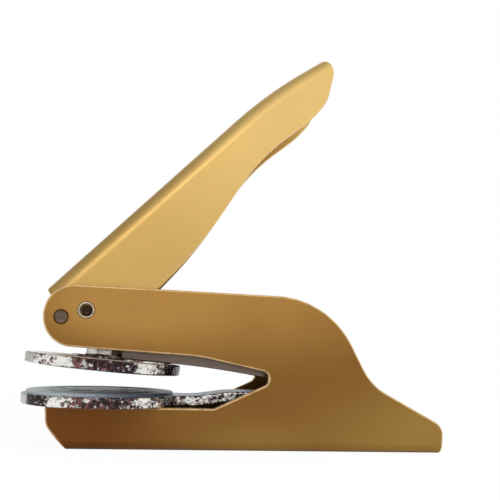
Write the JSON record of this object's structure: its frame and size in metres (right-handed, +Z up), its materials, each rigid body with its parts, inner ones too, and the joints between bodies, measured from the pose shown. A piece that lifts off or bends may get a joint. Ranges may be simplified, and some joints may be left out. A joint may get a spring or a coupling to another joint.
{
  "type": "hand seal embosser",
  "caption": "Hand press that embosses a round seal into paper: a folded body, a lever handle with a cam, and a lower and an upper die on round holders.",
  "frame": {"origin": "on the axis of the lower die, at the underside of the base", "axes": "+Z up, +X from the dies towards the heel, +Y across the cheeks; the press is stored open"},
  "size_m": [0.1353, 0.05, 0.1301],
  "materials": {
    "gold_body": "satin gold lacquer",
    "gold_handle": "satin gold lacquer",
    "nickel": "nickel plated, bright",
    "pin_steel": "turned end, dull",
    "bright_steel": "zinc plated",
    "dark_steel": "blackened",
    "arm_steel": "dark, satin",
    "chrome_plate": "chromed over a rough casting",
    "die_metal": "satin, blue-grey",
    "spring_wire": "drawn wire",
    "bronze": "sintered, oiled"
  },
  "bodies": {
    "body": {"body_frame": "gold_body", "pivot_rivet": "nickel", "stop_pin": "pin_steel", "pivot_washers": "bright_steel", "lower_plate": "chrome_plate", "lower_die": "die_metal", "support_posts": "bright_steel", "base_screws": "bright_steel", "plate_screws": "bright_steel", "hinge_bracket": "dark_steel", "hinge_pin": "bright_steel", "hinge_clips": "dark_steel", "spring_cup": "dark_steel", "return_spring": "spring_wire"},
    "handle": {"handle_shell": "gold_handle", "cam_block": "dark_steel", "cam_rivets": "bright_steel", "pivot_bush": "bronze"},
    "arm": {"press_arm": "arm_steel", "arm_bush": "bronze", "arm_rivets": "bright_steel", "upper_disc": "chrome_plate", "upper_die": "die_metal", "press_pad": "dark_steel", "spring_saddle": "dark_steel"}
  },
  "joints": [
    {"name": "handle_pivot", "type": "hinge", "parent": "body", "child": "handle", "pos_m": [-0.00505, 0, 0.04233], "axis": [0, 1, 0], "range_deg": [0, 42], "stiffness_Nm_per_rad": 0.5, "springref_deg": -22.92},
    {"name": "arm_hinge", "type": "hinge", "parent": "body", "child": "arm", "pos_m": [0.0862, 0, 0.016], "axis": [0, 1, 0], "range_deg": [-4.3, 0], "deforming": ["return_spring"]}
  ],
  "couplings": [
    {"joint": "arm_hinge", "follows": "handle_pivot", "ratio": -0.1}
  ]
}
